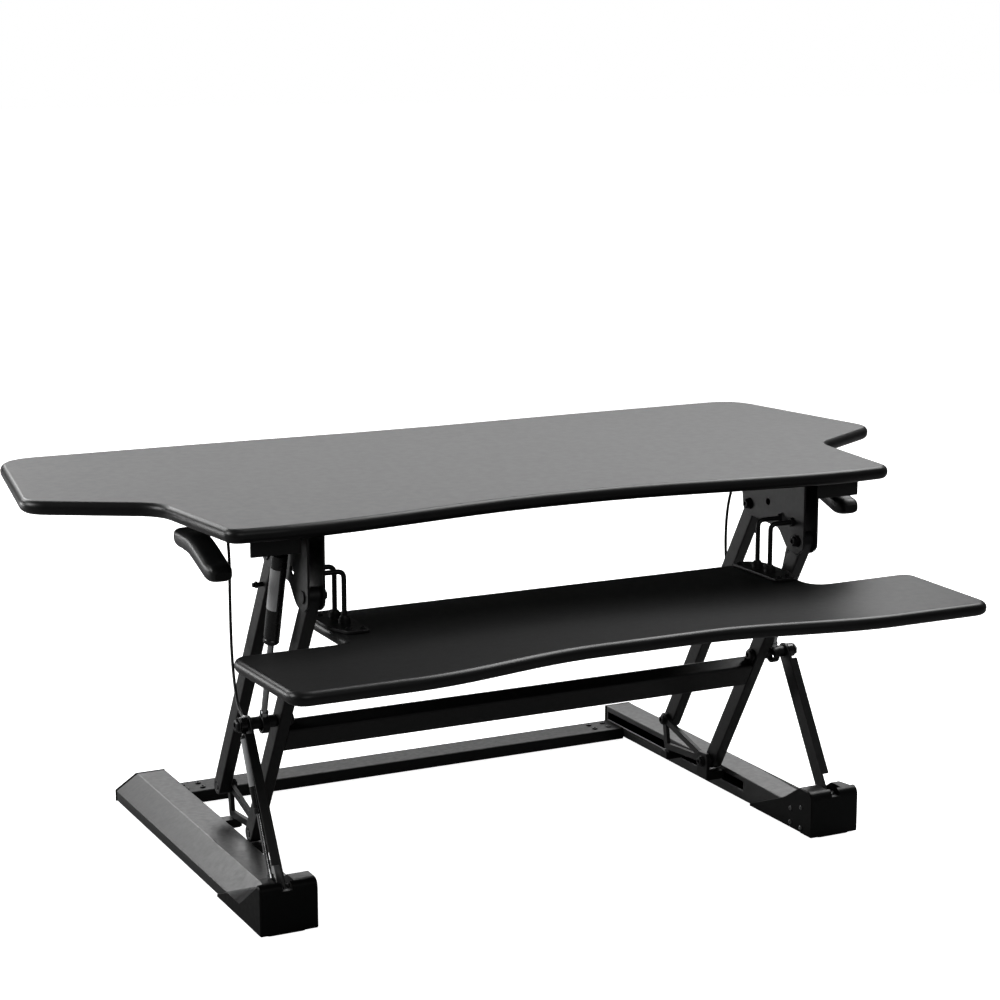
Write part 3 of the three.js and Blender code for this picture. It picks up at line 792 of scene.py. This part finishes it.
def top_pin(point):
    end = CHEEK_LOW - 0.003
    shaft = turned(point, [
        (end, CHEEK_LOW - GAP, SPACER_RADIUS),
        (CHEEK_LOW - GAP, CHEEK_HIGH + GAP, PIN),
        (CHEEK_HIGH + GAP, CHEEK_HIGH + 0.002, SPACER_RADIUS),
    ])
    return combined(shaft, screw_head((end, *point), (-1, 0, 0), 0.0068, 0.004, 6))


def hanger(side, sign):
    """Two bent rods from the bracket's inner cheek to a foot plate on the tray."""
    x, top, turn = 0.305, 0.435, 0.009
    seat = TRAY_Z[1] + GAP
    foot_profile = [(0, 0.0075), (0.006, 0.0075), (0.008, 0.0058), (0.010, 0.0048)]
    nut_profile = [(0, 0.0052), (0.0008, 0.006), (0.0037, 0.006)]
    rods = []
    for y in (-0.142, -0.112):
        corner = Vector((x + turn, y, top)), Vector((x, y, top)), Vector((x, y, top - turn))
        arc = [bend(*corner, k / 8) for k in range(9)]
        route = [Vector((CHEEK_LOW - GAP, y, top)), *arc, Vector((x, y, seat + 0.001))]
        rods.append(tube(route, 0.0032, 5))
        rods.append(lathe((x, y, seat + 0.003), (0, 0, 1), foot_profile))
        rods.append(lathe((CHEEK_LOW - 0.004, y, top), (1, 0, 0), nut_profile, 6))
    foot = outline([
        (0.288, -0.186, 0.008), (0.318, -0.186, 0.008), (0.330, -0.150, 0.004),
        (0.330, -0.092, 0.004), (0.314, -0.074, 0.008), (0.288, -0.074, 0.008),
    ], 6)
    thick = 0.004
    foot_plate = board([foot], (seat, seat + thick), 0.001)
    mesh = combined(foot_plate, *rods)
    piece(f"tray_hanger_frame_{side}", mesh, STEEL, "platform",
          [f"tray_hanger_{side}"], sign)
    spots = ((0.296, -0.178), (0.312, -0.172), (0.296, -0.082), (0.318, -0.096))
    heads = [screw_head((*spot, seat + thick), (0, 0, 1), 0.0036, 0.0019) for spot in spots]
    piece(f"tray_screws_{side}", combined(*heads), BLACK_BOLT, "platform", sign=sign)


# ---- height release ----
# Across the lever, each row: y and z from its pivot, half height, half width.
LEVER_SECTIONS = (
    (0.0145, -0.0005, 0.005, 0.010), (0.0115, -0.0005, 0.0095, 0.0135),
    (0, -0.0005, 0.0122, 0.0155), (-0.020, -0.0005, 0.0122, 0.016),
    (-0.044, -0.0018, 0.0130, 0.016), (-0.066, -0.0078, 0.0135, 0.016),
    (-0.088, -0.0155, 0.0130, 0.016), (-0.106, -0.0215, 0.0122, 0.0158),
    (-0.120, -0.0225, 0.0098, 0.014), (-0.1265, -0.0245, 0.005, 0.010),
)


def release(side, sign):
    full = f"lever_housing_{side}"
    housing = refined(full, 0.0007)
    piece(f"lever_housing_skin_{side}", housing, STEEL, "platform", [full])
    y, z = LEVER
    middle = sum(reach("release_lever_right")) / 2
    rings = [
        rounded_ring(middle, y + dy, z + dz, half_z, half_x)
        for dy, dz, half_z, half_x in smoothed(LEVER_SECTIONS, 4)
    ]
    piece(f"release_lever_grip_{side}", mesh_of(rings), PLASTIC, f"lever_{side}",
          [f"release_lever_{side}"], sign)
    pin = combined(
        turned(LEVER, [(0.4215, 0.4247, 0.006), (0.4247, 0.4395, 0.0034)]),
        screw_head((middle + 0.0128, *LEVER), (1, 0, 0), 0.0062, 0.0028),
    )
    piece(f"lever_pin_detail_{side}", pin, BLACK_BOLT, "platform",
          [f"lever_pin_{side}"], sign)
    under = BOARD_Z[0] - 0.0033
    heads = [
        screw_head((x, row, under), (0, 0, -1), 0.0038, 0.0022)
        for x in (0.400, 0.420)
        for row in (-0.135, -0.02)
    ]
    piece(f"lever_housing_screws_{side}", combined(*heads), ZINC, "platform", sign=sign)
    cable(side, sign)


def smoothed(rows, steps):
    """Rows of numbers with further rows on a smooth curve between them."""
    ends = [rows[0], *rows, rows[-1]]
    result = []
    for four in zip(ends, ends[1:], ends[2:], ends[3:]):
        result += [[between(*column, k / steps) for column in zip(*four)] for k in range(steps)]
    return [*result, rows[-1]]


def rounded_ring(x, y, z, half_z, half_x, count=36, power=3.2):
    """A ring across the lever, between a rectangle and an ellipse in shape."""
    ring = []
    for k in range(count):
        a = 2 * math.pi * k / count
        c, s = math.cos(a), math.sin(a)
        u = math.copysign(abs(c) ** (2 / power), c)
        v = math.copysign(abs(s) ** (2 / power), s)
        ring.append(Vector((x + half_x * u, y, z + half_z * v)))
    return ring


CABLE_RADIUS = 0.002
CABLE_ROUTE = [
    (0.400, 0.0226, 0.477), (0.398, 0.036, 0.477), (0.388, 0.054, 0.470),
    (0.378, 0.064, 0.450), (0.373, 0.071, 0.415), (0.372, 0.074, 0.370),
    (0.373, 0.071, 0.325), (0.376, 0.060, 0.287), (0.381, 0.039, 0.257),
    (0.387, 0.013, 0.239), (0.3908, -0.012, 0.2315), (0.3916, MIDDLE.x + 0.0154, 0.2304),
]
GLAND_PROFILE = [(0, 0.004), (0.006, 0.004), (0.010, 0.0032), (0.016, 0.0026)]
FERRULE_PROFILE = [(0, 0.0026), (0.002, 0.0032), (0.012, 0.0032), (0.015, 0.0025)]


def cable(side, sign):
    route = [Vector(p) for p in CABLE_ROUTE]
    sheath = tube(catmull(route, 6), CABLE_RADIUS, 6)
    obj = piece(f"release_cable_sheath_{side}", sheath, JACKET, "platform",
                [f"release_cable_{side}"], sign, ride=False)
    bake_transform(obj)
    gland = lathe(route[0] - Vector((0, 0.006, 0)), (0, 1, 0), GLAND_PROFILE)
    piece(f"cable_gland_{side}", gland, BLACK_BOLT, "platform", sign=sign)
    tail = (route[-2] - route[-1]).normalized()
    ferrule = lathe(route[-1] - 0.003 * tail, tail, FERRULE_PROFILE)
    piece(f"cable_ferrule_{side}", ferrule, ZINC, "front_arms", sign=sign)


# ---- studio ----
def studio():
    far, thick = 30, 0.02
    corners = ((-far, -far), (far, -far), (far, far), (-far, far))
    slab_rings = [[Vector((*corner, z)) for corner in corners] for z in (-thick, 0)]
    floor = bpy.data.objects.new("floor", mesh_of(slab_rings))
    bpy.context.scene.collection.objects.link(floor)
    floor.data.materials.append(pale_floor())
    backdrop(0.05)
    aim = Vector((0, 0.05, 0.3))
    softbox("rear", (1.2, 3.0, 1.65), aim, (3.4, 0.9), 34)
    softbox("overhead", (1.9, 0.7, 2.9), aim, (2.2, 1.5), 80)
    softbox("left", (-2.9, 0.9, 1.9), aim, (1.5, 1.3), 45)
    softbox("rear left", (-0.9, 3.2, 1.95), aim, (1.6, 0.8), 26)
    softbox("low left", (-2.1, 2.7, 0.5), aim, (1.2, 0.9), 20)
    softbox("front", (-0.6, -3.6, 2.4), aim, (2.0, 1.2), 12)
    bpy.context.scene.view_settings.view_transform = "Standard"


def for_the_camera(tree, seen, unseen, output):
    """What the camera sees directly, and what only lights the object."""
    choice = tree.nodes.new("ShaderNodeMixShader")
    path = tree.nodes.new("ShaderNodeLightPath")
    tree.links.new(path.outputs["Is Camera Ray"], choice.inputs["Fac"])
    tree.links.new(unseen, choice.inputs[1])
    tree.links.new(seen, choice.inputs[2])
    tree.links.new(choice.outputs["Shader"], output)


def pale_floor():
    """A floor that looks near-white to the camera and throws little light back up."""
    n = Nodes("pale_floor")
    tone = n.colours(n.spread(n.noise(0.6, 3), 0, 1), grey(0.84), grey(0.86))
    n.link(tone, n.shader.inputs["Base Color"])
    n.set(Roughness=0.8, Specular_IOR_Level=0.1, Emission_Color=(1, 1, 1, 1), Emission_Strength=1.0)
    dim = n.tree.nodes.new("ShaderNodeBsdfDiffuse")
    dim.inputs["Color"].default_value = (0.2, 0.2, 0.2, 1)
    surface = n.tree.nodes["Material Output"].inputs["Surface"]
    for_the_camera(n.tree, n.shader.outputs["BSDF"], dim.outputs["BSDF"], surface)
    return n.material


def backdrop(strength):
    """A white backdrop that lights the object only softly."""
    world = bpy.data.worlds.new("studio")
    world.use_nodes = True
    tree = world.node_tree
    seen = tree.nodes["Background"]
    seen.inputs["Color"].default_value = (1, 1, 1, 1)
    soft = tree.nodes.new("ShaderNodeBackground")
    soft.inputs["Color"].default_value = (1, 1, 1, 1)
    soft.inputs["Strength"].default_value = strength
    surface = tree.nodes["World Output"].inputs["Surface"]
    for_the_camera(tree, seen.outputs["Background"], soft.outputs["Background"], surface)
    bpy.context.scene.world = world


def softbox(name, place, aim, size, power):
    data = bpy.data.lights.new(name, "AREA")
    data.shape = "RECTANGLE"
    data.energy = power
    data.size, data.size_y = size
    lamp = bpy.data.objects.new(name, data)
    lamp.location = place
    lamp.rotation_euler = (aim - Vector(place)).to_track_quat("-Z", "Y").to_euler()
    bpy.context.scene.collection.objects.link(lamp)


def camera():
    data = bpy.data.cameras.new("camera")
    data.lens = 84.96
    data.sensor_width = 36
    data.clip_end = 100
    obj = bpy.data.objects.new("camera", data)
    obj.location = (-1.3815, -2.7023, 1.0732)
    obj.rotation_euler = Vector((0.4406, 0.8764, -0.195)).to_track_quat("-Z", "Y").to_euler()
    bpy.context.scene.collection.objects.link(obj)
    bpy.context.scene.camera = obj


camera()
studio()
boards()
crossbar()
cross_tube()
for side, sign in SIDES:
    base(side, sign)
    arms(side, sign)
    carriage(side, sign)
    gas_springs(side, sign)
    bracket(side, sign)
    hanger(side, sign)
    release(side, sign)
